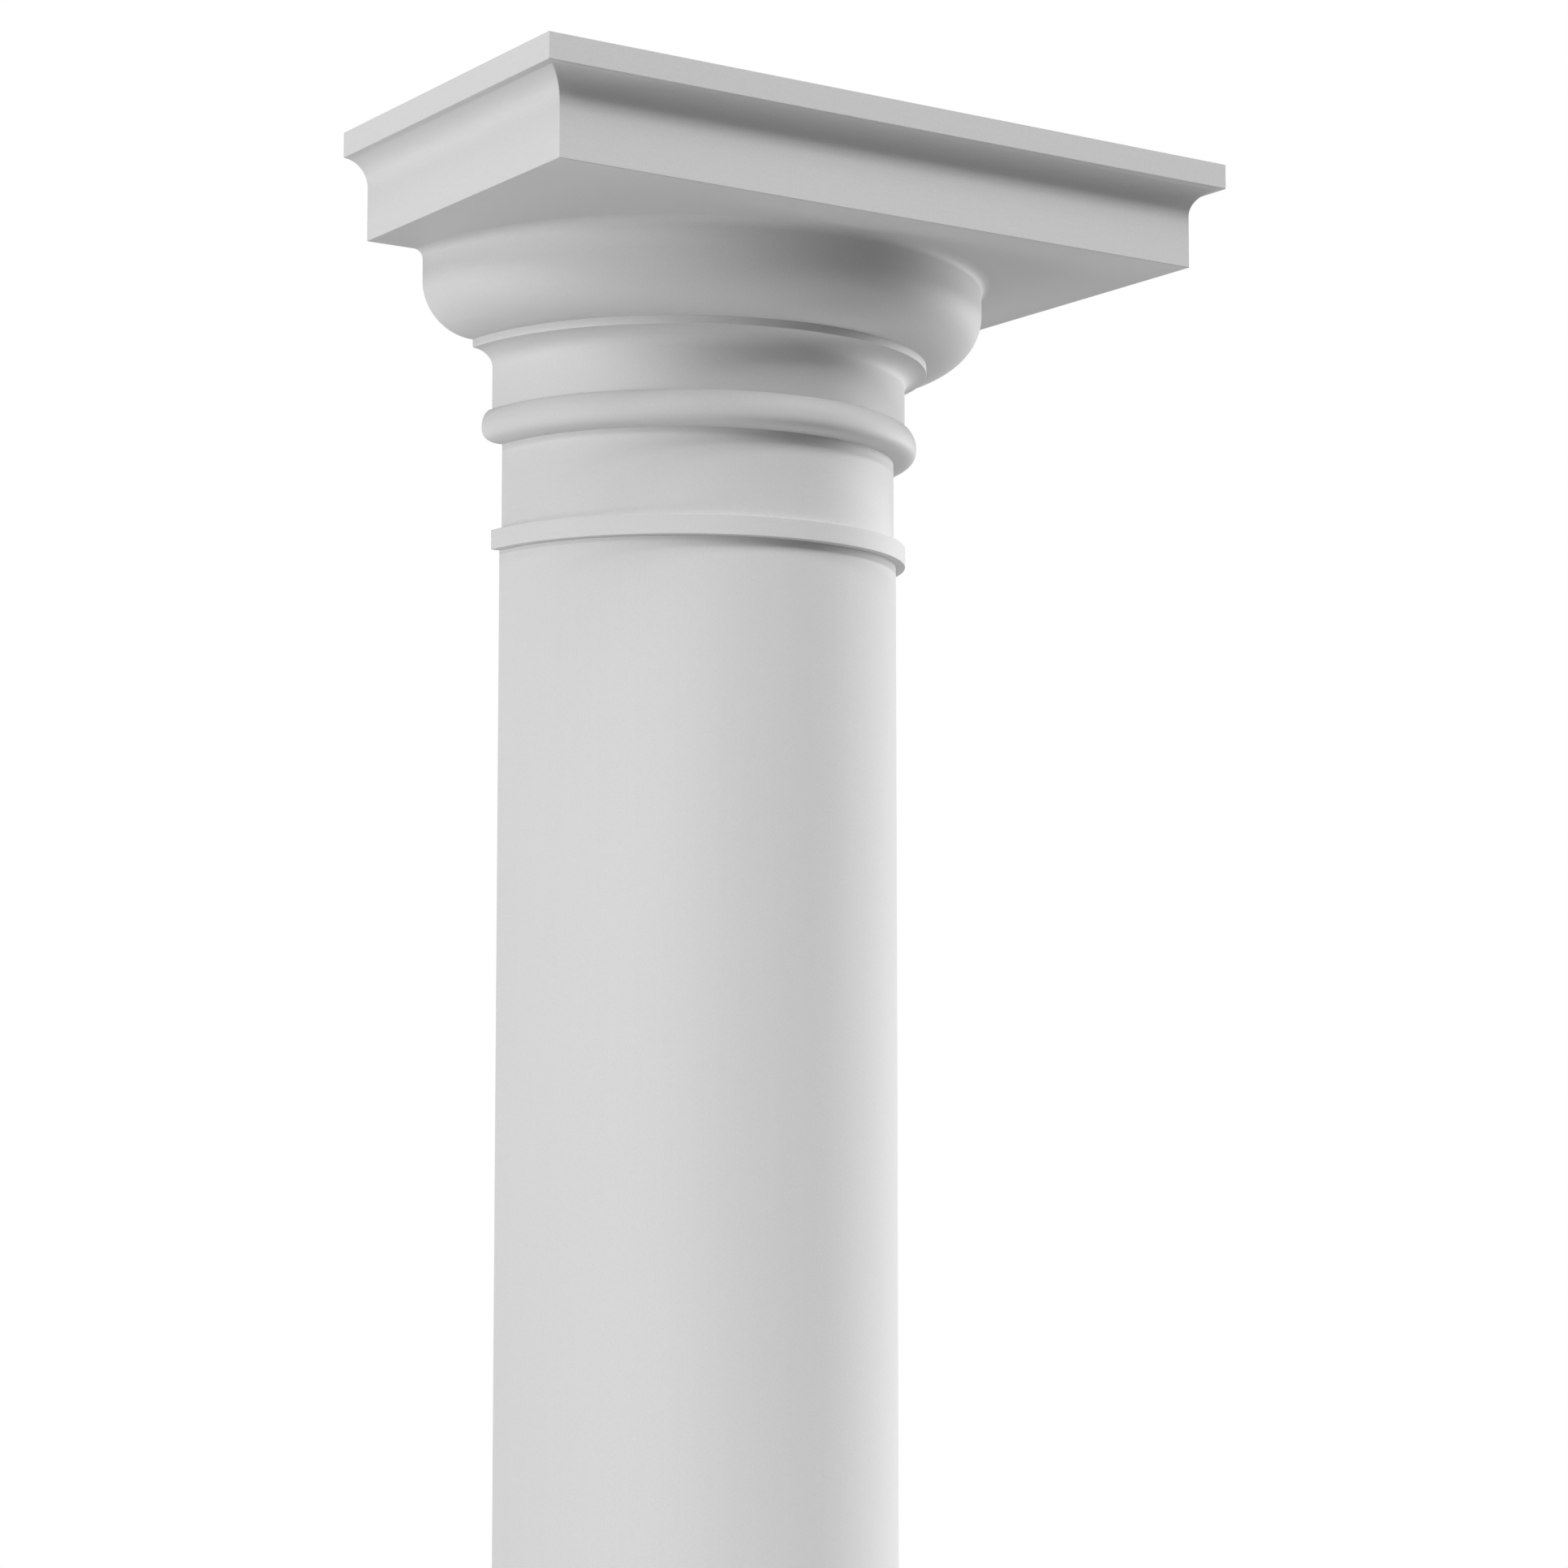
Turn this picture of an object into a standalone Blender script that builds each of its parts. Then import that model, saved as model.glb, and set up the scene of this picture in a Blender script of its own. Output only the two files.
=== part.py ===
"""A half-round engaged column of plain cast stone, with a moulded capital and a plain base.

The column is cut flat through its own axis, where it stands against a wall. Its capital is one
casting: a square abacus over a turned bell. The shaft is a plain half cylinder, and the base is a
square plinth under a torus. Sizes are in metres, +Z is up, the front faces -Y, and the origin is on
the floor under the middle of the column's bounding box.

Every projection is measured outwards from the face of the shaft, and every height is measured along
the column, so a change of shaft or height carries the mouldings with it.
"""

import math

import bmesh
import bpy

# The whole column
COLUMN_HEIGHT = 2.44
SHAFT_RADIUS = 0.1525
JOINT_GAP = 0.0003

# The abacus, from its top downwards
ABACUS_FILLET_PROJECTION = 0.1240
ABACUS_FILLET_HEIGHT = 0.0176
ABACUS_CAVETTO_HEIGHT = 0.0185
ABACUS_FACE_PROJECTION = 0.1054
ABACUS_FACE_HEIGHT = 0.0369

# The echinus, from the abacus downwards
ECHINUS_COVE_RADIUS = 0.0069
ECHINUS_PROJECTION = 0.0623
ECHINUS_SIDE_HEIGHT = 0.0150
OVOLO_HEIGHT = 0.0361
ANNULET_PROJECTION = 0.0224
ANNULET_HEIGHT = 0.0057

# The neck, its bead and the collar that closes the capital
NECK_CAVETTO_HEIGHT = 0.0121
UPPER_NECK_PROJECTION = 0.0066
UPPER_NECK_HEIGHT = 0.0296
BEAD_PROJECTION = 0.0149
BEAD_TOP_HEIGHT = 0.0125
BEAD_TOP_FULLNESS = 1.8
BEAD_UNDERSIDE_HEIGHT = 0.0115
BEAD_UNDERSIDE_FULLNESS = 2.75
LOWER_NECK_PROJECTION = -0.0016
LOWER_NECK_HEIGHT = 0.0611
COLLAR_PROJECTION = 0.0067
COLLAR_HEIGHT = 0.0138

# The base, from the floor upwards
PLINTH_PROJECTION = 0.0580
PLINTH_HEIGHT = 0.0760
TORUS_PROJECTION = 0.0560
TORUS_HEIGHT = 0.0560
BASE_FILLET_PROJECTION = 0.0200
BASE_FILLET_HEIGHT = 0.0130
BASE_CAVETTO_HEIGHT = 0.0160
BASE_LEDGE = 0.0030

# How finely the curves are faceted
TURN_STEPS = 96
SQUARE_STEPS = 4
LARGE_CURVE_FACETS = 12
BEAD_FACETS = 7
SMALL_CURVE_FACETS = 5
SMOOTH_ANGLE = math.radians(25)

# The stone, as a linear grey
STONE_GREY = (0.66, 0.66, 0.66, 1.0)
CAST_ROUGHNESS = 0.85
SHAFT_ROUGHNESS = 0.80

ELLIPSE = 2.0
MERGE_DISTANCE = 0.00001


def abacus_half_width():
    """The half width of the square abacus, which is also its depth in front of the wall."""
    return SHAFT_RADIUS + ABACUS_FILLET_PROJECTION


def abacus_height():
    """The height of the abacus over the soffit."""
    return ABACUS_FILLET_HEIGHT + ABACUS_CAVETTO_HEIGHT + ABACUS_FACE_HEIGHT


def base_height():
    """The height of the base, from the floor to the shaft's bed joint."""
    return PLINTH_HEIGHT + TORUS_HEIGHT + BASE_FILLET_HEIGHT + BASE_CAVETTO_HEIGHT


def falling_curve(start, end, facets, upright_first, fullness=ELLIPSE):
    """The points after start on a quarter curve that falls to end, as (radius, height) pairs.

    It leaves start upright and reaches end level, or the other way round. A fullness of 2 is a
    quarter ellipse, a larger one swells towards the corner, and a smaller one flattens.
    """
    power = 2.0 / fullness
    points = []
    for index in range(1, facets):
        angle = 0.5 * math.pi * index / facets
        fall = math.sin(angle) ** power
        stay = math.cos(angle) ** power
        if upright_first:
            radius = end[0] + (start[0] - end[0]) * stay
            height = start[1] + (end[1] - start[1]) * fall
        else:
            radius = start[0] + (end[0] - start[0]) * fall
            height = end[1] + (start[1] - end[1]) * stay
        points.append((radius, height))
    points.append(end)
    return points


def evaluated_mesh(source):
    """A plain mesh of an object with its modifiers applied. The object itself is removed."""
    bpy.context.view_layer.update()
    graph = bpy.context.evaluated_depsgraph_get()
    mesh = bpy.data.meshes.new_from_object(source.evaluated_get(graph))
    bpy.data.objects.remove(source)
    return mesh


def turned_object(name, profile, steps):
    """An object turned about the Z axis from a profile that starts and ends on the axis."""
    points = [(radius, 0.0, height) for radius, height in profile]
    edges = [(index, index + 1) for index in range(len(points) - 1)]
    mesh = bpy.data.meshes.new(name)
    mesh.from_pydata(points, edges, [])
    turned = bpy.data.objects.new(name, mesh)
    bpy.context.scene.collection.objects.link(turned)
    screw = turned.modifiers.new("turn", "SCREW")
    screw.axis = "Z"
    screw.angle = 2.0 * math.pi
    screw.steps = steps
    screw.render_steps = steps
    screw.use_merge_vertices = True
    screw.merge_threshold = MERGE_DISTANCE
    return turned


def square_object(name, profile):
    """A moulding run round a square, mitred at its corners, from a profile of half widths."""
    diagonal = [(half_width * math.sqrt(2.0), height) for half_width, height in profile]
    square = turned_object(name, diagonal, SQUARE_STEPS)
    square.rotation_euler.z = math.radians(45.0)
    return square


def joined_mesh(body, block):
    """The mesh of two overlapping objects as one solid. Both objects are removed."""
    union = body.modifiers.new("one_casting", "BOOLEAN")
    union.operation = "UNION"
    union.solver = "EXACT"
    union.object = block
    mesh = evaluated_mesh(body)
    bpy.data.objects.remove(block)
    return mesh


def keep_front_half(mesh):
    """Cuts a solid in the wall plane through its axis, keeps the front and closes the flat back."""
    solid = bmesh.new()
    solid.from_mesh(mesh)
    bmesh.ops.bisect_plane(
        solid,
        geom=solid.verts[:] + solid.edges[:] + solid.faces[:],
        dist=MERGE_DISTANCE,
        plane_co=(0.0, 0.0, 0.0),
        plane_no=(0.0, 1.0, 0.0),
        clear_outer=True,
    )
    rim = [edge for edge in solid.edges if edge.is_boundary]
    bmesh.ops.holes_fill(solid, edges=rim)
    bmesh.ops.recalc_face_normals(solid, faces=solid.faces[:])
    solid.to_mesh(mesh)
    solid.free()


def stone(name, roughness):
    """A matt neutral stone."""
    material = bpy.data.materials.new(name)
    material.use_nodes = True
    shader = material.node_tree.nodes["Principled BSDF"]
    shader.inputs["Base Color"].default_value = STONE_GREY
    shader.inputs["Roughness"].default_value = roughness
    shader.inputs["Metallic"].default_value = 0.0
    return material


def place(name, mesh, material, height, collection, foot):
    """Puts a finished half piece at its height, against the wall plane of the column."""
    keep_front_half(mesh)
    mesh.shade_smooth()
    mesh.set_sharp_from_angle(angle=SMOOTH_ANGLE)
    mesh.name = name
    mesh.materials.clear()
    mesh.materials.append(material)
    piece = bpy.data.objects.new(name, mesh)
    collection.objects.link(piece)
    piece.parent = foot
    piece.location.z = height
    return piece


def abacus_profile():
    """Half widths and heights of the abacus, with its soffit at height 0."""
    fillet = SHAFT_RADIUS + ABACUS_FILLET_PROJECTION
    face = SHAFT_RADIUS + ABACUS_FACE_PROJECTION
    top = abacus_height()
    fillet_bottom = top - ABACUS_FILLET_HEIGHT
    face_top = fillet_bottom - ABACUS_CAVETTO_HEIGHT
    profile = [(0.0, top), (fillet, top), (fillet, fillet_bottom)]
    profile += falling_curve(
        (fillet, fillet_bottom), (face, face_top), LARGE_CURVE_FACETS, upright_first=False
    )
    profile += [(face, 0.0), (0.0, 0.0)]
    return profile


def bell_profile():
    """Radii and heights of the turned bell, with the abacus soffit at height 0.

    Its top is buried in the abacus, so that the two make one solid.
    """
    echinus = SHAFT_RADIUS + ECHINUS_PROJECTION
    annulet = SHAFT_RADIUS + ANNULET_PROJECTION
    upper_neck = SHAFT_RADIUS + UPPER_NECK_PROJECTION
    bead = SHAFT_RADIUS + BEAD_PROJECTION
    lower_neck = SHAFT_RADIUS + LOWER_NECK_PROJECTION
    collar = SHAFT_RADIUS + COLLAR_PROJECTION
    buried_top = 0.5 * ABACUS_FACE_HEIGHT

    cove_top = (echinus + ECHINUS_COVE_RADIUS, 0.0)
    side_top = (echinus, -ECHINUS_COVE_RADIUS)
    ovolo_top = (echinus, side_top[1] - ECHINUS_SIDE_HEIGHT)
    ovolo_bottom = (annulet, ovolo_top[1] - OVOLO_HEIGHT)
    annulet_bottom = (annulet, ovolo_bottom[1] - ANNULET_HEIGHT)
    neck_top = (upper_neck, annulet_bottom[1] - NECK_CAVETTO_HEIGHT)
    bead_top = (upper_neck, neck_top[1] - UPPER_NECK_HEIGHT)
    bead_widest = (bead, bead_top[1] - BEAD_TOP_HEIGHT)
    bead_bottom = (lower_neck, bead_widest[1] - BEAD_UNDERSIDE_HEIGHT)
    neck_bottom = (lower_neck, bead_bottom[1] - LOWER_NECK_HEIGHT)
    collar_bottom = (collar, neck_bottom[1] - COLLAR_HEIGHT)

    profile = [(0.0, buried_top), (cove_top[0], buried_top), cove_top]
    profile += falling_curve(cove_top, side_top, SMALL_CURVE_FACETS, upright_first=False)
    profile += [ovolo_top]
    profile += falling_curve(ovolo_top, ovolo_bottom, LARGE_CURVE_FACETS, upright_first=True)
    profile += [annulet_bottom]
    profile += falling_curve(annulet_bottom, neck_top, SMALL_CURVE_FACETS, upright_first=False)
    profile += [bead_top]
    profile += falling_curve(
        bead_top, bead_widest, BEAD_FACETS, upright_first=False, fullness=BEAD_TOP_FULLNESS
    )
    profile += falling_curve(
        bead_widest, bead_bottom, BEAD_FACETS, upright_first=True, fullness=BEAD_UNDERSIDE_FULLNESS
    )
    profile += [neck_bottom, (collar, neck_bottom[1]), collar_bottom, (0.0, collar_bottom[1])]
    return profile


def capital_height():
    """The height of the whole capital, from the collar's underside to the abacus top."""
    return abacus_height() - bell_profile()[-1][1]


def capital_mesh():
    """The abacus and the bell as one casting, with the collar's underside at height 0."""
    bell = turned_object("bell", bell_profile(), TURN_STEPS)
    abacus = square_object("abacus", abacus_profile())
    return joined_mesh(bell, abacus)


def shaft_mesh(length):
    """The plain shaft, with its foot at height 0."""
    profile = [(0.0, length), (SHAFT_RADIUS, length), (SHAFT_RADIUS, 0.0), (0.0, 0.0)]
    return evaluated_mesh(turned_object("drum", profile, TURN_STEPS))


def base_mesh():
    """A square plinth and its turned mouldings as one casting, standing on height 0."""
    ledge = SHAFT_RADIUS + BASE_LEDGE
    fillet = SHAFT_RADIUS + BASE_FILLET_PROJECTION
    torus = SHAFT_RADIUS + TORUS_PROJECTION
    torus_centre = torus - 0.5 * TORUS_HEIGHT
    plinth = SHAFT_RADIUS + PLINTH_PROJECTION
    top = base_height()
    fillet_top = top - BASE_CAVETTO_HEIGHT
    torus_top = fillet_top - BASE_FILLET_HEIGHT
    torus_widest = torus_top - 0.5 * TORUS_HEIGHT
    buried_foot = 0.5 * PLINTH_HEIGHT

    profile = [(0.0, top), (ledge, top)]
    profile += falling_curve(
        (ledge, top), (fillet, fillet_top), SMALL_CURVE_FACETS, upright_first=True
    )
    profile += [(fillet, torus_top), (torus_centre, torus_top)]
    profile += falling_curve(
        (torus_centre, torus_top), (torus, torus_widest), LARGE_CURVE_FACETS, upright_first=False
    )
    profile += falling_curve(
        (torus, torus_widest), (torus_centre, PLINTH_HEIGHT), LARGE_CURVE_FACETS, upright_first=True
    )
    profile += [(torus_centre, buried_foot), (0.0, buried_foot)]
    mouldings = turned_object("base_mouldings", profile, TURN_STEPS)
    block = [(0.0, PLINTH_HEIGHT), (plinth, PLINTH_HEIGHT), (plinth, 0.0), (0.0, 0.0)]
    return joined_mesh(mouldings, square_object("plinth", block))


def wall_foot(collection):
    """An empty at the foot of the column's axis, in the wall plane, that carries the pieces."""
    foot = bpy.data.objects.new("wall_foot", None)
    collection.objects.link(foot)
    foot.location.y = 0.5 * abacus_half_width()
    return foot


def build():
    """Clears the scene and builds the base, the shaft and the capital."""
    for old in list(bpy.data.objects):
        bpy.data.objects.remove(old)
    collection = bpy.data.collections.new("half_column")
    bpy.context.scene.collection.children.link(collection)
    foot = wall_foot(collection)

    capital_foot = COLUMN_HEIGHT - capital_height()
    shaft_foot = base_height() + JOINT_GAP
    shaft_length = capital_foot - JOINT_GAP - shaft_foot

    place("base", base_mesh(), stone("base_stone", CAST_ROUGHNESS), 0.0, collection, foot)
    place(
        "shaft", shaft_mesh(shaft_length), stone("shaft_stone", SHAFT_ROUGHNESS), shaft_foot,
        collection, foot,
    )
    soffit = COLUMN_HEIGHT - abacus_height()
    place("capital", capital_mesh(), stone("capital_stone", CAST_ROUGHNESS), soffit, collection, foot)


build()
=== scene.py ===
"""The looks of a half-round engaged column of smooth cast stone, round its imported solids.

The column is cut flat through its axis, where it stands against a wall. Each of its three solids is
replaced by a finer casting of the same form: round curves, softened arrises, and a fine-grained stone.
Sizes are in metres, +Z is up, and the front faces -Y.
"""

from __future__ import annotations

import logging
import math
from collections.abc import Callable, Iterator
from contextlib import contextmanager
from dataclasses import dataclass, field
from enum import Enum
from functools import cache

import bmesh
import bpy
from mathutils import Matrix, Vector


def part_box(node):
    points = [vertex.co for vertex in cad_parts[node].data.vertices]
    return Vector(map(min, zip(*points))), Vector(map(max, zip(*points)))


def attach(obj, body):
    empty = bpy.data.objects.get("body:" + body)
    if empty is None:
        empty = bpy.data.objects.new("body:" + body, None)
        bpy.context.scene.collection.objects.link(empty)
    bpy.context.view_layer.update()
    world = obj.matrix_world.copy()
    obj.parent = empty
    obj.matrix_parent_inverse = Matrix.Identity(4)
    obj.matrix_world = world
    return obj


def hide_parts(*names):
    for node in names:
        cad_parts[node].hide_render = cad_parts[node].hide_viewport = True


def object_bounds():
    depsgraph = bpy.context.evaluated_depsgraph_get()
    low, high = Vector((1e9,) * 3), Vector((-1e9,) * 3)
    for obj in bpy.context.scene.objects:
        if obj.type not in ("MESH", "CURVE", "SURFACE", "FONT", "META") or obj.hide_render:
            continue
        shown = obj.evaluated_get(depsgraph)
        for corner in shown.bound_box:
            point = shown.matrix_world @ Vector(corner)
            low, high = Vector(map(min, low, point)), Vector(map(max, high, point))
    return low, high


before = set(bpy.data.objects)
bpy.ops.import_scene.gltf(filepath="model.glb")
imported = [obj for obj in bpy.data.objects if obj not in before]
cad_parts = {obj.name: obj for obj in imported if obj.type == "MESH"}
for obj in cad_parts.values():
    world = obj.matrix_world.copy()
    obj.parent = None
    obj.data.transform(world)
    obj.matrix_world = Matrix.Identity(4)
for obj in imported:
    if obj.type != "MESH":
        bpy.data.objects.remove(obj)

log = logging.getLogger("column")

CAD_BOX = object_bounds()
BODY = "root"
MILLIMETRE = 0.001
MERGE_DISTANCE = 0.01 * MILLIMETRE

# Edges that turn by less than this are shaded smooth, and aren't softened.
FLAT_ANGLE = math.radians(25.0)

# A face looks along an axis when its normal's share along it is over this.
SQUARE_ON = 0.999

# How many flats round an arris.
ARRIS_FLATS = 3

# The weight at which the broadest face beside a corner sets the normal there.
BROAD_FACE_WEIGHT = 100

# The casting's material slots.
SEEN_SLOT = 0
HIDDEN_SLOT = 1

# The mouldings keep some of the smooth skin of their mould, while the shaft is rubbed matt.
MOULD_SKIN_ROUGHNESS = 0.62

# The sockets of a Mix node that it uses for colours.
MIX_FACTOR = 0
MIX_DARK = 6
MIX_LIGHT = 7
MIX_RESULT = 2


class Plan(Enum):
    """The plan of a block whose section is given by radii or half widths."""

    ROUND = "round"
    SQUARE = "square"


class Leaving(Enum):
    """How a quarter curve leaves the point before it."""

    UPRIGHT = "upright"
    LEVEL = "level"


class Rub(Enum):
    """Which way a face was rubbed down, as the size of its faint streaks along X, Y and Z."""

    ALONG_MOULDINGS = (160.0 * MILLIMETRE, 160.0 * MILLIMETRE, 2.2 * MILLIMETRE)
    UP_THE_SHAFT = (5.0 * MILLIMETRE, 5.0 * MILLIMETRE, 420.0 * MILLIMETRE)


@dataclass
class Section:
    """The outer line of a block, drawn from its top downwards as (radius, height) points.

    Attributes:
        points: The points so far, the highest first.
    """

    points: list[tuple[float, float]]

    def upright(self, drop: float) -> Section:
        """Goes straight down by a drop."""
        self.points.append((self.points[-1][0], self.points[-1][1] - drop))
        return self

    def level(self, radius: float) -> Section:
        """Goes level to a radius."""
        self.points.append((radius, self.points[-1][1]))
        return self

    def curve(
        self, radius: float, drop: float, leaving: Leaving, facets: int, fullness: float = 2.0
    ) -> Section:
        """Falls along a quarter curve, which is upright at one end and level at the other.

        Args:
            radius: The radius at its lower end.
            drop: Its height.
            leaving: Whether it leaves the point before it upright or level.
            facets: How many straight facets it has.
            fullness: 2 for a quarter ellipse, more to swell it towards its corner, less to
                flatten it.

        Returns:
            The section itself, so that calls can be chained.
        """
        start_radius, start_height = self.points[-1]
        end_height = start_height - drop
        power = 2.0 / fullness
        for index in range(1, facets):
            angle = 0.5 * math.pi * index / facets
            gone = math.sin(angle) ** power
            left = math.cos(angle) ** power
            if leaving is Leaving.UPRIGHT:
                point = (radius + (start_radius - radius) * left, start_height - drop * gone)
            else:
                point = (start_radius + (radius - start_radius) * gone, end_height + drop * left)
            self.points.append(point)
        self.points.append((radius, end_height))
        return self


def pick(piece: bpy.types.Object) -> None:
    """Makes a piece the active object, and the only one that is selected.

    Args:
        piece: The piece.
    """
    bpy.ops.object.select_all(action="DESELECT")
    bpy.context.view_layer.objects.active = piece
    piece.select_set(True)


@contextmanager
def editing(piece: bpy.types.Object) -> Iterator[bmesh.types.BMesh]:
    """Opens a piece in edit mode, alone and with nothing selected.

    Args:
        piece: The piece to edit.

    Yields:
        The mesh in edit mode, for selecting by place or normal.
    """
    pick(piece)
    bpy.ops.object.mode_set(mode="EDIT")
    bpy.ops.mesh.select_mode(type="EDGE")
    bpy.ops.mesh.select_all(action="DESELECT")
    yield bmesh.from_edit_mesh(piece.data)
    bpy.ops.object.mode_set(mode="OBJECT")


def select_edges(
    piece: bpy.types.Object,
    mesh: bmesh.types.BMesh,
    wanted: Callable[[bmesh.types.BMEdge], bool],
) -> None:
    """Selects the edges of a piece that pass a test.

    Args:
        piece: The piece that is being edited.
        mesh: Its mesh in edit mode.
        wanted: The test.
    """
    for edge in mesh.edges:
        if wanted(edge):
            edge.select_set(True)
    bmesh.update_edit_mesh(piece.data)


def apply_modifier(piece: bpy.types.Object, kind: str, settings: dict[str, object]) -> None:
    """Adds a modifier to a piece and applies it.

    Args:
        piece: The piece, which becomes the active object.
        kind: The modifier's type.
        settings: The values of its properties.
    """
    pick(piece)
    modifier = piece.modifiers.new(kind.lower(), kind)
    for name, value in settings.items():
        setattr(modifier, name, value)
    bpy.ops.object.modifier_apply(modifier=modifier.name)


class Socket:
    """A shader value that Python expressions can add, subtract and multiply."""

    def __init__(self, graph: ShaderGraph, socket: bpy.types.NodeSocket) -> None:
        """Wraps a socket of a graph."""
        self.graph = graph
        self.socket = socket

    def _maths(self, operation: str, first: object, second: object) -> Socket:
        """Adds a Math node on two values or sockets.

        Args:
            operation: The Math node's operation.
            first: The first value or socket.
            second: The second value or socket.

        Returns:
            The node's result.
        """
        node = self.graph.node("ShaderNodeMath", {"operation": operation}, {0: first, 1: second})
        return Socket(self.graph, node.outputs[0])

    def __add__(self, other: object) -> Socket:
        """This value plus another."""
        return self._maths("ADD", self, other)

    def __radd__(self, other: object) -> Socket:
        """Another value plus this one."""
        return self._maths("ADD", other, self)

    def __sub__(self, other: object) -> Socket:
        """This value less another."""
        return self._maths("SUBTRACT", self, other)

    def __rsub__(self, other: object) -> Socket:
        """Another value less this one."""
        return self._maths("SUBTRACT", other, self)

    def __mul__(self, other: object) -> Socket:
        """This value times another."""
        return self._maths("MULTIPLY", self, other)

    def __rmul__(self, other: object) -> Socket:
        """Another value times this one."""
        return self._maths("MULTIPLY", other, self)


class ShaderGraph:
    """The node tree of one material, built by calls."""

    def __init__(self, name: str) -> None:
        """Makes a material with nothing but its shader and output.

        Args:
            name: The material's name.
        """
        self.material = bpy.data.materials.new(name)
        self.material.use_nodes = True
        self.tree = self.material.node_tree
        self.shader = self.tree.nodes["Principled BSDF"]
        self.place = self.node("ShaderNodeTexCoord", {}, {}).outputs["Object"]

    def node(
        self, kind: str, settings: dict[str, object], inputs: dict[object, object]
    ) -> bpy.types.Node:
        """Adds any node, with its settings made before its inputs are filled.

        Args:
            kind: The node's type.
            settings: The values of its own properties.
            inputs: What feeds each of its sockets, a value, a socket or a wrapped one.

        Returns:
            The new node.
        """
        made = self.tree.nodes.new(kind)
        for name, value in settings.items():
            setattr(made, name, value)
        for key, value in inputs.items():
            self.feed(made.inputs[key], value)
        return made

    def feed(self, target: bpy.types.NodeSocket, value: object) -> None:
        """Sets or links one input.

        Args:
            target: The input.
            value: A plain value, a socket or a wrapped one.
        """
        if isinstance(value, Socket):
            value = value.socket
        if isinstance(value, bpy.types.NodeSocket):
            self.tree.links.new(value, target)
        else:
            target.default_value = value

    def measured(
        self, size: tuple[float, float, float], slant: float = 0.0
    ) -> bpy.types.NodeSocket:
        """The place on the piece, counted in steps of a size.

        Args:
            size: The length of one step along X, Y and Z, in metres.
            slant: How far the steps are turned about Y, in radians.

        Returns:
            The place.
        """
        return self.node(
            "ShaderNodeMapping",
            {"vector_type": "TEXTURE"},
            {"Vector": self.place, "Rotation": (0.0, slant, 0.0), "Scale": size},
        ).outputs[0]

    def noise(
        self, size: tuple[float, float, float], detail: float, slant: float = 0.0
    ) -> Socket:
        """A cloudy pattern from -1 to 1 on the piece's own place.

        Args:
            size: The size of its features along X, Y and Z, in metres.
            detail: How many finer layers it has.
            slant: How far it is turned about Y, in radians.

        Returns:
            The pattern.
        """
        pattern = self.node(
            "ShaderNodeTexNoise",
            {"noise_dimensions": "3D", "normalize": True},
            {"Vector": self.measured(size, slant), "Scale": 1.0, "Detail": detail},
        )
        return 2.0 * Socket(self, pattern.outputs[0]) - 1.0

    def pits(self, spacing: float, width: float, share: float) -> Socket:
        """Small round pits, 1 at their middle and 0 outside them.

        Args:
            spacing: The mean distance between the places that may hold a pit, in metres.
            width: The width of a pit, in metres.
            share: The share of those places that hold one.

        Returns:
            The pattern.
        """
        cells = self.node(
            "ShaderNodeTexVoronoi",
            {"voronoi_dimensions": "3D", "feature": "F1"},
            {"Vector": self.measured((spacing,) * 3), "Scale": 1.0},
        )
        hollow = self.node(
            "ShaderNodeMapRange",
            {"interpolation_type": "SMOOTHSTEP"},
            {
                "Value": cells.outputs["Distance"],
                "From Min": 0.0,
                "From Max": 0.5 * width / spacing,
                "To Min": 1.0,
                "To Max": 0.0,
            },
        )
        chance = self.node("ShaderNodeSeparateColor", {}, {0: cells.outputs["Color"]})
        held = self.node(
            "ShaderNodeMath", {"operation": "LESS_THAN"}, {0: chance.outputs[0], 1: share}
        )
        return Socket(self, hollow.outputs[0]) * Socket(self, held.outputs[0])

    def bump(self, height: Socket) -> None:
        """Feeds the shader's normal with a relief.

        Args:
            height: The relief's height, in metres.
        """
        relief = self.node(
            "ShaderNodeBump", {}, {"Strength": 1.0, "Distance": 1.0, "Height": height}
        )
        self.feed(self.shader.inputs["Normal"], relief.outputs[0])

    def shade(self, grey: float, tone: Socket, room: float) -> None:
        """Feeds the shader's colour with a neutral grey that a tone moves.

        Args:
            grey: The mean linear grey.
            tone: How far the grey is moved at each place, as a share of it.
            room: The most that it can be moved, as a share of it.
        """
        factor = tone * (0.5 / room) + 0.5
        colour = self.grey_mix(grey * (1.0 - room), grey * (1.0 + room), factor)
        self.feed(self.shader.inputs["Base Color"], colour)

    def grey_mix(self, dark: float, light: float, factor: Socket) -> bpy.types.NodeSocket:
        """A neutral colour between two greys.

        Args:
            dark: The grey at factor 0.
            light: The grey at factor 1.
            factor: The share of the lighter grey.

        Returns:
            The colour.
        """
        mixed = self.node(
            "ShaderNodeMix",
            {"data_type": "RGBA", "clamp_factor": True},
            {
                MIX_FACTOR: factor,
                MIX_DARK: (dark, dark, dark, 1.0),
                MIX_LIGHT: (light, light, light, 1.0),
            },
        )
        return mixed.outputs[MIX_RESULT]


@dataclass(frozen=True)
class Finish:
    """A finish of the stone.

    Attributes:
        name: The material's name.
    """

    name: str

    @cache
    def material(self) -> bpy.types.Material:
        """Gives the finish as a material, which is made once and shared by the pieces.

        Returns:
            The material.
        """
        graph = ShaderGraph(self.name)
        self.paint(graph)
        return graph.material

    def paint(self, graph: ShaderGraph) -> None:
        """Feeds the shader of a new material."""
        raise NotImplementedError


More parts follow.
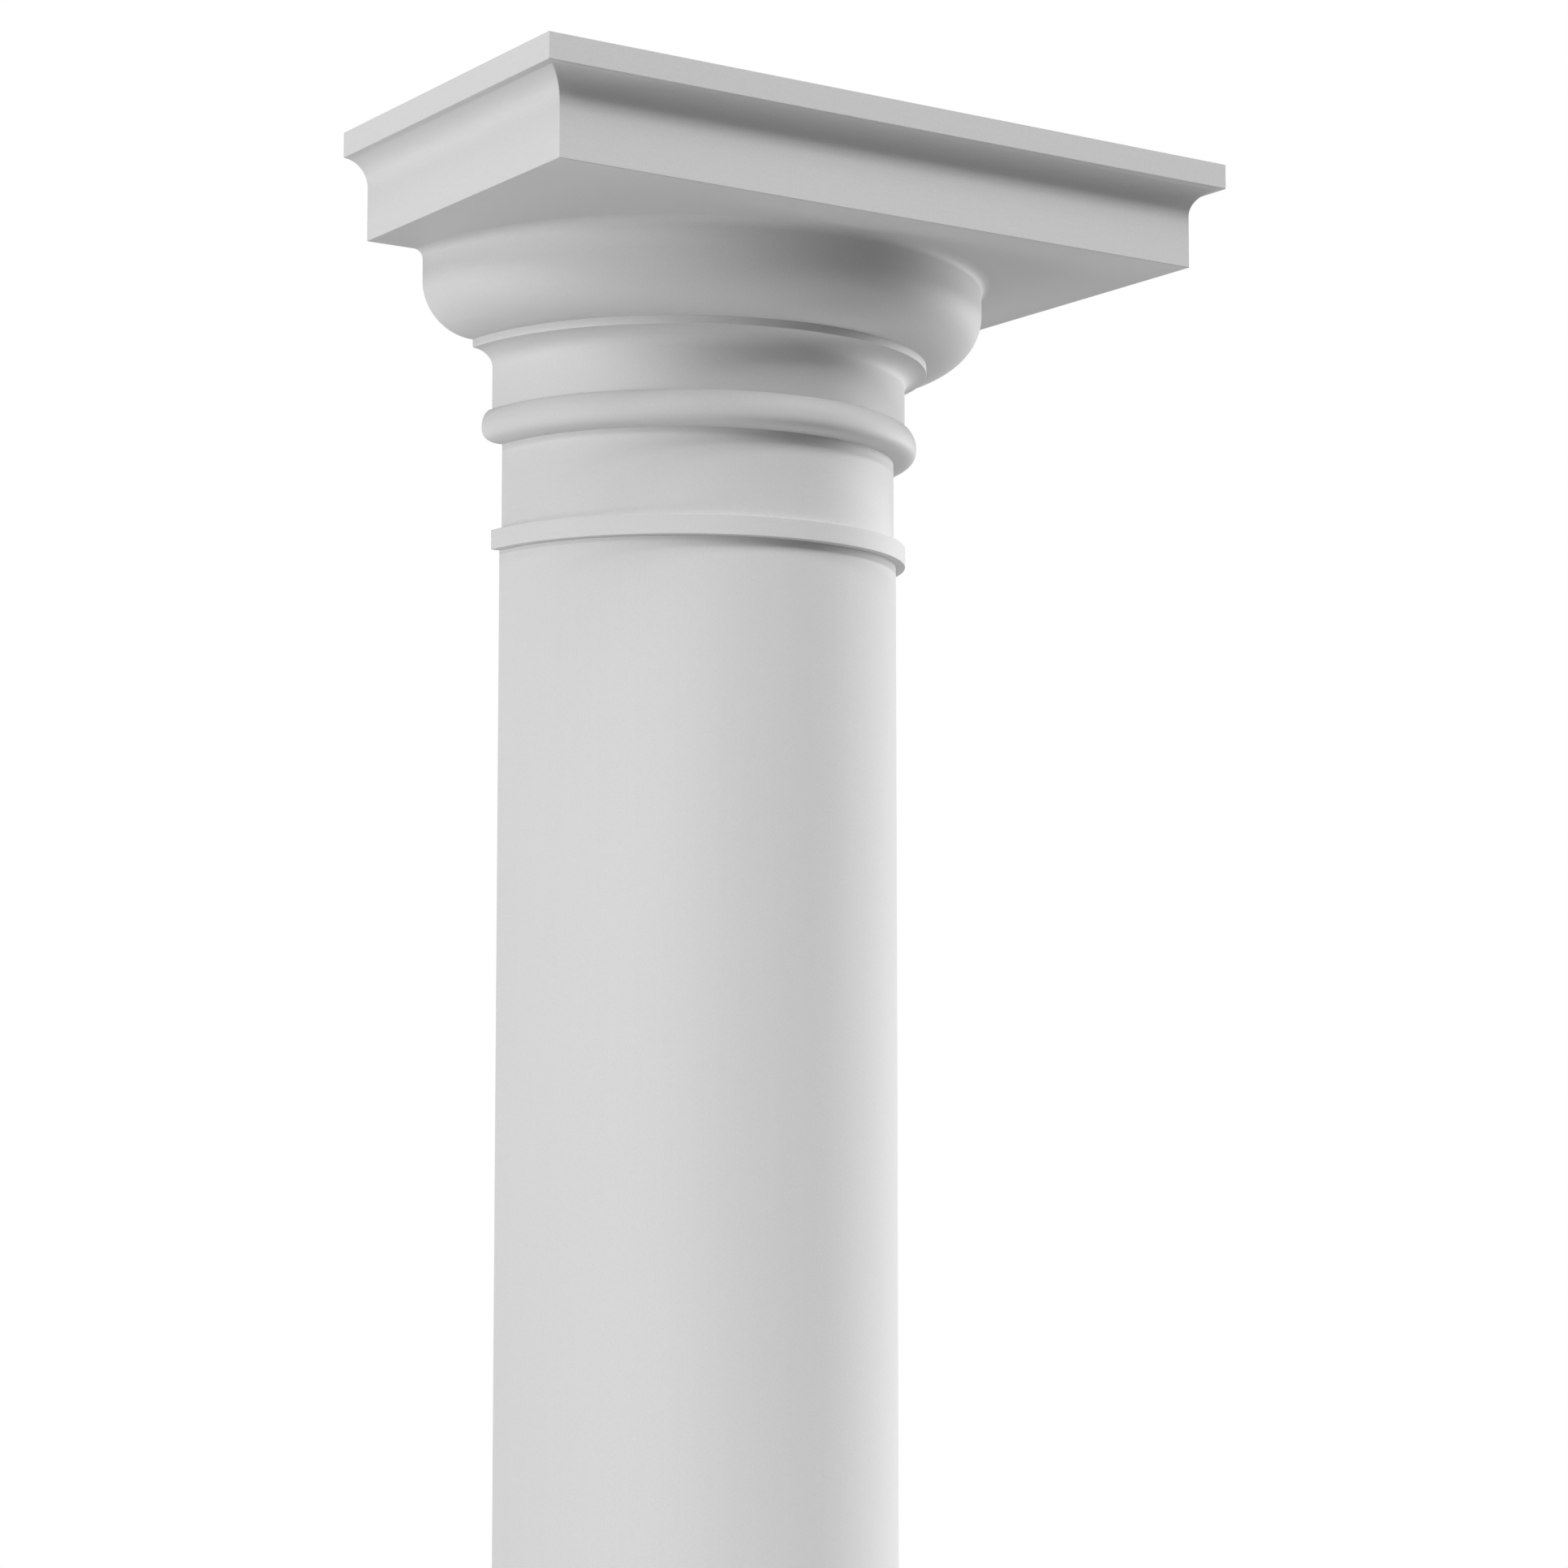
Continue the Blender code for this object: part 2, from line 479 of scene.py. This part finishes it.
@dataclass(frozen=True)
class RubbedStone(Finish):
    """The seen faces of smooth cast stone: matt, fine-grained and rubbed down.

    Attributes:
        rub: Which way the face was rubbed down.
        grey: The stone's mean linear grey.
        cloud_size: The size of its broad, hardly visible clouds, in metres.
        cloud_tone: How far the clouds move the grey, as a share of it.
        grain_size: The size of its sand grains, in metres.
        grain_tone: How far the grains move the grey.
        grain_relief: The height of the grains, in metres.
        rub_tone: How far the rubbing streaks move the grey.
        rub_relief: The depth of the streaks, in metres.
        ripple_size: The width of the slow unevenness of the face, in metres.
        ripple_relief: The height of that unevenness, in metres.
        roughness: The mean roughness.
        roughness_play: How far the clouds move the roughness.
        gloss: The specular level.
        tone_room: The most that the grey can be moved, as a share of it.
    """

    rub: Rub
    grey: float = 0.66
    cloud_size: float = 150.0 * MILLIMETRE
    cloud_tone: float = 0.010
    grain_size: float = 1.1 * MILLIMETRE
    grain_tone: float = 0.05
    grain_relief: float = 0.035 * MILLIMETRE
    rub_tone: float = 0.010
    rub_relief: float = 0.012 * MILLIMETRE
    ripple_size: float = 80.0 * MILLIMETRE
    ripple_relief: float = 0.08 * MILLIMETRE
    roughness: float = 0.86
    roughness_play: float = 0.05
    gloss: float = 0.25
    tone_room: float = 0.12

    def paint(self, graph: ShaderGraph) -> None:
        """Feeds the shader of a new material.

        Args:
            graph: The material's nodes.
        """
        clouds = graph.noise((self.cloud_size,) * 3, detail=3.0)
        grains = graph.noise((self.grain_size,) * 3, detail=1.0)
        streaks = graph.noise(self.rub.value, detail=2.0)
        ripple = graph.noise((self.ripple_size,) * 3, detail=0.0)
        tone = clouds * self.cloud_tone + grains * self.grain_tone + streaks * self.rub_tone
        graph.shade(self.grey, tone, self.tone_room)
        graph.bump(
            grains * self.grain_relief
            + streaks * self.rub_relief
            + ripple * self.ripple_relief
        )
        graph.feed(
            graph.shader.inputs["Roughness"], clouds * self.roughness_play + self.roughness
        )
        graph.feed(graph.shader.inputs["Specular IOR Level"], self.gloss)


@dataclass(frozen=True)
class FloatedStone(Finish):
    """The faces of cast stone that are hidden once it is built in, left from the float.

    Attributes:
        grey: The stone's mean linear grey.
        cloud_size: The size of its damp-looking clouds, in metres.
        cloud_tone: How far the clouds move the grey, as a share of it.
        grain_size: The size of its sand grains, in metres.
        grain_tone: How far the grains move the grey.
        grain_relief: The height of the grains, in metres.
        sweep_size: The size of the float's streaks along X, Y and Z, in metres.
        sweep_slant: How far the sweeps slope, in radians.
        sweep_tone: How far the streaks move the grey.
        sweep_relief: The depth of the streaks, in metres.
        pit_spacing: The mean distance between the air pits that could be, in metres.
        pit_width: The width of an air pit, in metres.
        pit_share: The share of those pits that are there.
        pit_painted_shade: How far a pit darkens the grey, as painted shade in the pit on top of its
            relief.
        pit_depth: The depth of a pit, in metres.
        roughness: The roughness.
        gloss: The specular level.
        tone_room: The most that the grey can be moved, as a share of it.
    """

    grey: float = 0.62
    cloud_size: float = 220.0 * MILLIMETRE
    cloud_tone: float = 0.07
    grain_size: float = 1.8 * MILLIMETRE
    grain_tone: float = 0.08
    grain_relief: float = 0.08 * MILLIMETRE
    sweep_size: tuple[float, float, float] = (
        300.0 * MILLIMETRE,
        300.0 * MILLIMETRE,
        9.0 * MILLIMETRE,
    )
    sweep_slant: float = math.radians(14.0)
    sweep_tone: float = 0.055
    sweep_relief: float = 0.20 * MILLIMETRE
    pit_spacing: float = 13.0 * MILLIMETRE
    pit_width: float = 3.0 * MILLIMETRE
    pit_share: float = 0.4
    pit_painted_shade: float = 0.30
    pit_depth: float = 0.6 * MILLIMETRE
    roughness: float = 0.93
    gloss: float = 0.2
    tone_room: float = 0.45

    def paint(self, graph: ShaderGraph) -> None:
        """Feeds the shader of a new material.

        Args:
            graph: The material's nodes.
        """
        clouds = graph.noise((self.cloud_size,) * 3, detail=4.0)
        grains = graph.noise((self.grain_size,) * 3, detail=2.0)
        sweeps = graph.noise(self.sweep_size, detail=3.0, slant=self.sweep_slant)
        pits = graph.pits(self.pit_spacing, self.pit_width, self.pit_share)
        tone = clouds * self.cloud_tone + grains * self.grain_tone + sweeps * self.sweep_tone
        # The air pits are sunk by the bump below, and their grey is also darkened as painted shade.
        graph.shade(self.grey, tone - pits * self.pit_painted_shade, self.tone_room)
        graph.bump(
            grains * self.grain_relief + sweeps * self.sweep_relief - pits * self.pit_depth
        )
        graph.feed(graph.shader.inputs["Roughness"], self.roughness)
        graph.feed(graph.shader.inputs["Specular IOR Level"], self.gloss)


@dataclass
class CastPiece:
    """A casting that is cut flat at the wall plane and stands for one solid of the frame.

    Attributes:
        node: The solid's name.
        name: The casting's name.
        slot: The record's material slot. It is not used.
        face: The finish of its seen faces.
        back: The finish of the faces that are hidden once it is built in.
        arris: The width of its softened arrises, in metres.
        steps: How many flats a full turn of it has.
        lowest: The lowest corner of the solid's box.
        highest: The highest corner of the solid's box.
    """

    node: str
    name: str
    slot: str
    face: RubbedStone
    back: FloatedStone
    arris: float = 0.6 * MILLIMETRE
    steps: int = 192
    lowest: Vector = field(init=False)
    highest: Vector = field(init=False)

    def __post_init__(self) -> None:
        """Reads the solid's box from the frame."""
        self.lowest, self.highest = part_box(self.node)

    def model(self) -> bpy.types.Object:
        """Models the whole round or square piece, before it is cut at the wall."""
        raise NotImplementedError

    def build(self) -> bpy.types.Object:
        """Models, cuts and dresses the piece and ties it to the frame.

        Returns:
            The finished piece.
        """
        piece = self.model()
        piece.name = self.name
        piece.data.name = self.name
        # The arrises were softened before this cut, so its own edges stay crisp.
        self.cut_at_wall(piece)
        self.smooth(piece)
        self.dress(piece)
        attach(piece, BODY)
        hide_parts(self.node)
        log.info("%s: %d faces, in %s", piece.name, len(piece.data.polygons), self.face.name)
        return piece

    def dress(self, piece: bpy.types.Object) -> None:
        """Gives the piece its two finishes, the floated one on its back and on the column's ends.

        Args:
            piece: The cut piece.
        """
        piece.data.materials.clear()
        piece.data.materials.append(self.face.material())
        piece.data.materials.append(self.back.material())
        ends = (CAD_BOX[0][2], CAD_BOX[1][2])
        for face in piece.data.polygons:
            at_back = face.normal.y > SQUARE_ON
            at_end = abs(face.normal.z) > SQUARE_ON and any(
                abs(face.center.z - end) < MERGE_DISTANCE for end in ends
            )
            face.material_index = HIDDEN_SLOT if at_back or at_end else SEEN_SLOT

    def out(self, projection: float) -> float:
        """The radius that stands out from the shaft's face by a projection."""
        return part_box("shaft")[1].x + projection

    def pull(self, section: Section, plan: Plan) -> bpy.types.Object:
        """Pulls a block down from its flat top, ring by ring, along its section.

        Args:
            section: Its outer line, whose radii are half widths on a square plan.
            plan: Whether it is round or square.

        Returns:
            The closed block, with its sharp arrises softened.
        """
        axis_y = self.highest.y
        radius, height = section.points[0]
        top = (0.0, axis_y, height)
        bpy.ops.object.select_all(action="DESELECT")
        if plan is Plan.ROUND:
            bpy.ops.mesh.primitive_circle_add(
                vertices=self.steps, radius=radius, fill_type="NGON", location=top
            )
        else:
            bpy.ops.mesh.primitive_plane_add(size=2.0 * radius, location=top)
        block = bpy.context.object
        bpy.ops.object.transform_apply(location=True, rotation=True, scale=True)
        with editing(block):
            bpy.ops.mesh.select_all(action="SELECT")
            for next_radius, next_height in section.points[1:]:
                bpy.ops.mesh.extrude_region_move(
                    TRANSFORM_OT_translate={"value": (0.0, 0.0, next_height - height)}
                )
                share = next_radius / radius
                bpy.ops.transform.resize(
                    value=(share, share, 1.0), center_override=(0.0, axis_y, next_height)
                )
                radius, height = next_radius, next_height
            bpy.ops.mesh.select_all(action="SELECT")
            bpy.ops.mesh.normals_make_consistent(inside=False)
        self.soften(block)
        return block

    def soften(self, block: bpy.types.Object) -> None:
        """Rounds the outward arrises of a block, and leaves its inner corners crisp.

        Args:
            block: The whole block, before it is cut at the wall.
        """
        with editing(block) as mesh:
            select_edges(
                block,
                mesh,
                lambda edge: edge.is_convex and edge.calc_face_angle(0.0) > FLAT_ANGLE,
            )
            bpy.ops.mesh.bevel(offset=self.arris, segments=ARRIS_FLATS, affect="EDGES")

    def unite(self, body: bpy.types.Object, block: bpy.types.Object) -> bpy.types.Object:
        """Makes two overlapping blocks one solid.

        Args:
            body: The block that stays.
            block: The block that is taken up.

        Returns:
            The body.
        """
        apply_modifier(body, "BOOLEAN", {"operation": "UNION", "solver": "EXACT", "object": block})
        bpy.data.objects.remove(block)
        return body

    def cut_at_wall(self, piece: bpy.types.Object) -> None:
        """Cuts a piece in the wall plane, keeps its front and closes its flat back.

        Args:
            piece: The whole piece.
        """
        with editing(piece):
            bpy.ops.mesh.select_all(action="SELECT")
            bpy.ops.mesh.bisect(
                plane_co=(0.0, self.highest.y, 0.0),
                plane_no=(0.0, 1.0, 0.0),
                use_fill=True,
                clear_outer=True,
                threshold=MERGE_DISTANCE,
            )
            bpy.ops.mesh.select_all(action="SELECT")
            bpy.ops.mesh.normals_make_consistent(inside=False)

    def smooth(self, piece: bpy.types.Object) -> None:
        """Shades a piece smooth, with its broad flats kept flat.

        Args:
            piece: The cut piece.
        """
        pick(piece)
        bpy.ops.object.shade_smooth_by_angle(angle=FLAT_ANGLE)
        apply_modifier(
            piece,
            "WEIGHTED_NORMAL",
            {"mode": "FACE_AREA", "weight": BROAD_FACE_WEIGHT, "keep_sharp": True},
        )


@dataclass
class Capital(CastPiece):
    """The abacus, the echinus, the neck and the collar, in one casting.

    Every projection is measured out from the face of the shaft. The sizes are given from the top
    down, in metres.

    Attributes:
        fillet_height: The flat band round the top of the abacus.
        cavetto_height: The hollow under it.
        face_projection: The plain face of the abacus.
        face_height: That face's height.
        cove_radius: The small hollow between the soffit and the echinus.
        echinus_projection: The echinus at its widest.
        echinus_side_height: The upright part of its side.
        ovolo_height: The quarter round under that.
        annulet_projection: The thin ring under the ovolo.
        annulet_height: That ring's height.
        neck_cavetto_height: The hollow from the ring in to the neck.
        upper_neck_projection: The neck over the bead.
        upper_neck_height: That part's height.
        bead_projection: The bead at its widest.
        bead_top_height: The bead over its widest line.
        bead_top_fullness: How square that part's curve is.
        bead_underside_height: The bead under its widest line.
        bead_underside_fullness: How square that part's curve is.
        lower_neck_projection: The neck under the bead, which is slighter than the shaft.
        lower_neck_height: That part's height.
        collar_projection: The flat collar over the bed joint.
        collar_height: The collar's height.
    """

    fillet_height: float = 17.6 * MILLIMETRE
    cavetto_height: float = 18.5 * MILLIMETRE
    face_projection: float = 105.4 * MILLIMETRE
    face_height: float = 36.9 * MILLIMETRE
    cove_radius: float = 6.9 * MILLIMETRE
    echinus_projection: float = 62.3 * MILLIMETRE
    echinus_side_height: float = 15.0 * MILLIMETRE
    ovolo_height: float = 36.1 * MILLIMETRE
    annulet_projection: float = 22.4 * MILLIMETRE
    annulet_height: float = 5.7 * MILLIMETRE
    neck_cavetto_height: float = 12.1 * MILLIMETRE
    upper_neck_projection: float = 6.6 * MILLIMETRE
    upper_neck_height: float = 29.6 * MILLIMETRE
    bead_projection: float = 14.9 * MILLIMETRE
    bead_top_height: float = 12.5 * MILLIMETRE
    bead_top_fullness: float = 1.8
    bead_underside_height: float = 11.5 * MILLIMETRE
    bead_underside_fullness: float = 2.75
    lower_neck_projection: float = -1.6 * MILLIMETRE
    lower_neck_height: float = 61.1 * MILLIMETRE
    collar_projection: float = 6.7 * MILLIMETRE
    collar_height: float = 13.8 * MILLIMETRE

    def abacus_section(self) -> Section:
        """The fillet, the cavetto and the plain face, down to the soffit.

        Returns:
            The section of the square abacus, in half widths.
        """
        face = self.out(self.face_projection)
        section = Section([(self.highest.x, self.highest.z)])
        section.upright(self.fillet_height)
        section.curve(face, self.cavetto_height, Leaving.LEVEL, facets=16)
        section.upright(self.face_height)
        return section

    def bell_section(self) -> Section:
        """The turned mouldings, from inside the abacus down to the collar's underside.

        Returns:
            The section of the round bell.
        """
        echinus = self.out(self.echinus_projection)
        soffit = self.highest.z - self.fillet_height - self.cavetto_height - self.face_height
        # It starts inside the abacus, so that the union has an overlap to join.
        buried = 0.5 * self.face_height
        section = Section([(echinus + self.cove_radius, soffit + buried)])
        section.upright(buried)
        section.curve(echinus, self.cove_radius, Leaving.LEVEL, facets=8)
        section.upright(self.echinus_side_height)
        section.curve(
            self.out(self.annulet_projection), self.ovolo_height, Leaving.UPRIGHT, facets=20
        )
        section.upright(self.annulet_height)
        section.curve(
            self.out(self.upper_neck_projection),
            self.neck_cavetto_height,
            Leaving.LEVEL,
            facets=10,
        )
        section.upright(self.upper_neck_height)
        section.curve(
            self.out(self.bead_projection),
            self.bead_top_height,
            Leaving.LEVEL,
            facets=12,
            fullness=self.bead_top_fullness,
        )
        section.curve(
            self.out(self.lower_neck_projection),
            self.bead_underside_height,
            Leaving.UPRIGHT,
            facets=14,
            fullness=self.bead_underside_fullness,
        )
        section.upright(self.lower_neck_height)
        section.level(self.out(self.collar_projection))
        section.upright(self.collar_height)
        return section

    def model(self) -> bpy.types.Object:
        """Models the bell and the abacus and unites them.

        Returns:
            The whole capital, before it is cut at the wall.
        """
        bell = self.pull(self.bell_section(), Plan.ROUND)
        abacus = self.pull(self.abacus_section(), Plan.SQUARE)
        return self.unite(bell, abacus)


@dataclass
class Shaft(CastPiece):
    """The plain round shaft, with no taper.

    Attributes:
        arris: The width of its arrises, which the bed joints keep crisp, in metres.
        bedding: How far it reaches into the bed joint at each end, in metres.
    """

    arris: float = 0.15 * MILLIMETRE
    bedding: float = 0.25 * MILLIMETRE

    def model(self) -> bpy.types.Object:
        """Models the whole cylinder, with hairline bed joints left at its ends.

        Returns:
            The cylinder, before it is cut at the wall.
        """
        top = self.highest.z + self.bedding
        foot = self.lowest.z - self.bedding
        section = Section([(self.highest.x, top)]).upright(top - foot)
        return self.pull(section, Plan.ROUND)


@dataclass
class Base(CastPiece):
    """A square plinth under a torus, a fillet and a small cavetto, in one casting.

    Every projection is measured out from the face of the shaft. The sizes are in metres.

    Attributes:
        ledge: How far the bed joint stands proud of the shaft.
        cavetto_height: The hollow under the bed joint.
        fillet_projection: The flat band under the hollow.
        fillet_height: That band's height.
        torus_projection: The round ring at its widest.
        torus_height: The ring's height.
    """

    ledge: float = 3.0 * MILLIMETRE
    cavetto_height: float = 16.0 * MILLIMETRE
    fillet_projection: float = 20.0 * MILLIMETRE
    fillet_height: float = 13.0 * MILLIMETRE
    torus_projection: float = 56.0 * MILLIMETRE
    torus_height: float = 56.0 * MILLIMETRE

    def plinth_height(self) -> float:
        """The height that the turned mouldings leave for the plinth."""
        mouldings = self.cavetto_height + self.fillet_height + self.torus_height
        return self.highest.z - mouldings - self.lowest.z

    def mouldings_section(self) -> Section:
        """The turned mouldings, from the shaft's bed joint down into the plinth.

        Returns:
            The section of the round mouldings.
        """
        torus = self.out(self.torus_projection)
        half_torus = 0.5 * self.torus_height
        section = Section([(self.out(self.ledge), self.highest.z)])
        section.curve(
            self.out(self.fillet_projection), self.cavetto_height, Leaving.UPRIGHT, facets=10
        )
        section.upright(self.fillet_height)
        section.level(torus - half_torus)
        section.curve(torus, half_torus, Leaving.LEVEL, facets=16)
        section.curve(torus - half_torus, half_torus, Leaving.UPRIGHT, facets=16)
        # They end inside the plinth, so that the union has an overlap to join.
        section.upright(0.5 * self.plinth_height())
        return section

    def plinth_section(self) -> Section:
        """The plain square block."""
        height = self.plinth_height()
        return Section([(self.highest.x, self.lowest.z + height)]).upright(height)

    def model(self) -> bpy.types.Object:
        """Models the turned mouldings and the plinth and unites them.

        Returns:
            The whole base, before it is cut at the wall.
        """
        mouldings = self.pull(self.mouldings_section(), Plan.ROUND)
        plinth = self.pull(self.plinth_section(), Plan.SQUARE)
        return self.unite(mouldings, plinth)


@dataclass(frozen=True)
class Softlight:
    """A wide soft light far away, as a big white screen gives.

    Attributes:
        name: The light's name.
        azimuth: Where it stands round the column, in degrees: 0 in front, 90 at +X.
        elevation: How far over the horizon it stands, in degrees.
        strength: Its irradiance, in watts per square metre.
        spread: The angle that it fills, in degrees.
        distance: How far off it is placed in the scene, in metres. A sun shines alike from
            anywhere, so this only keeps the lamps apart.
    """

    name: str
    azimuth: float
    elevation: float
    strength: float
    spread: float
    distance: float = 4.0

    def build(self) -> bpy.types.Object:
        """Adds the light to the scene.

        Returns:
            The light.
        """
        azimuth = math.radians(self.azimuth)
        elevation = math.radians(self.elevation)
        towards = Vector(
            (
                math.sin(azimuth) * math.cos(elevation),
                -math.cos(azimuth) * math.cos(elevation),
                math.sin(elevation),
            )
        )
        lamp = bpy.data.lights.new(self.name, "SUN")
        lamp.energy = self.strength
        lamp.angle = math.radians(self.spread)
        light = bpy.data.objects.new(self.name, lamp)
        light.rotation_euler = towards.to_track_quat("Z", "Y").to_euler()
        light.location = towards * self.distance
        bpy.context.scene.collection.objects.link(light)
        return light


LIGHTS = (
    Softlight("right_side", azimuth=98.0, elevation=-3.0, strength=1.98, spread=16.0),
    Softlight("right_flank", azimuth=71.0, elevation=14.0, strength=0.98, spread=18.0),
    Softlight("right_key", azimuth=32.0, elevation=44.0, strength=0.69, spread=8.0),
    Softlight("front_key", azimuth=20.0, elevation=39.0, strength=0.73, spread=8.0),
    Softlight("left_top", azimuth=-28.0, elevation=60.0, strength=0.36, spread=16.0),
    Softlight("left_key", azimuth=-40.0, elevation=48.0, strength=0.6, spread=16.0),
    Softlight("left_flank", azimuth=-63.0, elevation=24.0, strength=0.8, spread=16.0),
    Softlight("left_side", azimuth=-90.0, elevation=0.0, strength=1.38, spread=14.0),
    Softlight("left_foot", azimuth=-103.0, elevation=-26.0, strength=0.62, spread=14.0),
    Softlight("wall_side", azimuth=180.0, elevation=-4.0, strength=1.4, spread=30.0),
)


@dataclass
class Studio:
    """The pale floor, the soft lights, the white surround and the camera.

    Attributes:
        lights: The soft lights.
        floor_radius: The radius of the floor, in metres.
        floor_sides: How many sides its rim has.
        floor_grey: The floor's linear grey.
        floor_roughness: Its roughness.
        floor_solid_share: The share of the radius within which it doesn't fade.
        camera_place: Where the camera stands, in metres.
        camera_yaw: How far it is turned to the right of straight ahead, in degrees.
        camera_pitch: How far it looks up, in degrees.
        lens: Its focal length, in millimetres.
        sensor: The width of its frame, in millimetres.
        nearest: The nearest that it sees, in metres.
        farthest: The farthest that it sees, in metres.
    """

    lights: tuple[Softlight, ...]
    floor_radius: float = 6.0
    floor_sides: int = 128
    floor_grey: float = 0.80
    floor_roughness: float = 0.9
    floor_solid_share: float = 0.35
    camera_place: tuple[float, float, float] = (-1.3373, -1.9567, 1.7840)
    camera_yaw: float = 34.211
    camera_pitch: float = 5.135
    lens: float = 79.95
    sensor: float = 36.0
    nearest: float = 0.05
    farthest: float = 100.0

    def floor(self) -> bpy.types.Object:
        """Lays a round pale floor that fades out towards its rim.

        Returns:
            The floor.
        """
        bpy.ops.object.select_all(action="DESELECT")
        bpy.ops.mesh.primitive_circle_add(
            vertices=self.floor_sides,
            radius=self.floor_radius,
            fill_type="NGON",
            location=(0.0, 0.0, 0.0),
        )
        floor = bpy.context.object
        floor.name = "studio_floor"
        graph = ShaderGraph("studio_floor")
        graph.feed(graph.shader.inputs["Base Color"], (self.floor_grey,) * 3 + (1.0,))
        graph.feed(graph.shader.inputs["Roughness"], self.floor_roughness)
        reach = graph.node(
            "ShaderNodeVectorMath", {"operation": "LENGTH"}, {0: graph.place}
        ).outputs["Value"]
        fade = graph.node(
            "ShaderNodeMapRange",
            {"interpolation_type": "SMOOTHSTEP"},
            {
                "Value": reach,
                "From Min": self.floor_solid_share * self.floor_radius,
                "From Max": self.floor_radius,
            },
        ).outputs[0]
        clear = graph.node("ShaderNodeBsdfTransparent", {}, {})
        mixed = graph.node(
            "ShaderNodeMixShader",
            {},
            {0: fade, 1: graph.shader.outputs[0], 2: clear.outputs[0]},
        )
        graph.feed(graph.tree.nodes["Material Output"].inputs["Surface"], mixed.outputs[0])
        floor.data.materials.append(graph.material)
        return floor

    def surround(self) -> None:
        """Shows plain white behind the column, which sheds no light on it."""
        world = bpy.data.worlds.new("studio_surround")
        bpy.context.scene.world = world
        world.use_nodes = True
        tree = world.node_tree
        tree.nodes.clear()
        white = tree.nodes.new("ShaderNodeBackground")
        white.inputs["Color"].default_value = (1.0, 1.0, 1.0, 1.0)
        seen = tree.nodes.new("ShaderNodeLightPath")
        output = tree.nodes.new("ShaderNodeOutputWorld")
        tree.links.new(seen.outputs["Is Camera Ray"], white.inputs["Strength"])
        tree.links.new(white.outputs[0], output.inputs["Surface"])

    def camera(self) -> bpy.types.Object:
        """Sets up the camera below the capital, looking up at it from the left.

        Returns:
            The camera.
        """
        data = bpy.data.cameras.new("view")
        data.lens = self.lens
        data.sensor_width = self.sensor
        data.sensor_fit = "AUTO"
        data.clip_start = self.nearest
        data.clip_end = self.farthest
        camera = bpy.data.objects.new("view", data)
        camera.location = self.camera_place
        camera.rotation_euler = (
            math.radians(90.0 + self.camera_pitch),
            0.0,
            math.radians(-self.camera_yaw),
        )
        bpy.context.scene.collection.objects.link(camera)
        bpy.context.scene.camera = camera
        return camera

    def build(self) -> None:
        """Sets up the whole studio."""
        self.floor()
        self.surround()
        self.camera()
        for light in self.lights:
            light.build()
        bpy.context.scene.view_settings.view_transform = "Standard"
        log.info("studio: %d lights", len(self.lights))


def main() -> None:
    """Builds the column from its foot upwards, and the studio round it."""
    logging.basicConfig(level=logging.INFO, format="%(name)s %(message)s")
    moulded = RubbedStone("moulding_finish", Rub.ALONG_MOULDINGS, roughness=MOULD_SKIN_ROUGHNESS)
    plain = RubbedStone("shaft_finish", Rub.UP_THE_SHAFT)
    floated = FloatedStone("back_finish")
    Base("base", "base_casting", "base_stone", moulded, floated).build()
    Shaft("shaft", "shaft_drum", "shaft_stone", plain, floated).build()
    Capital("capital", "capital_casting", "capital_stone", moulded, floated).build()
    Studio(LIGHTS).build()


if __name__ == "__main__":
    main()
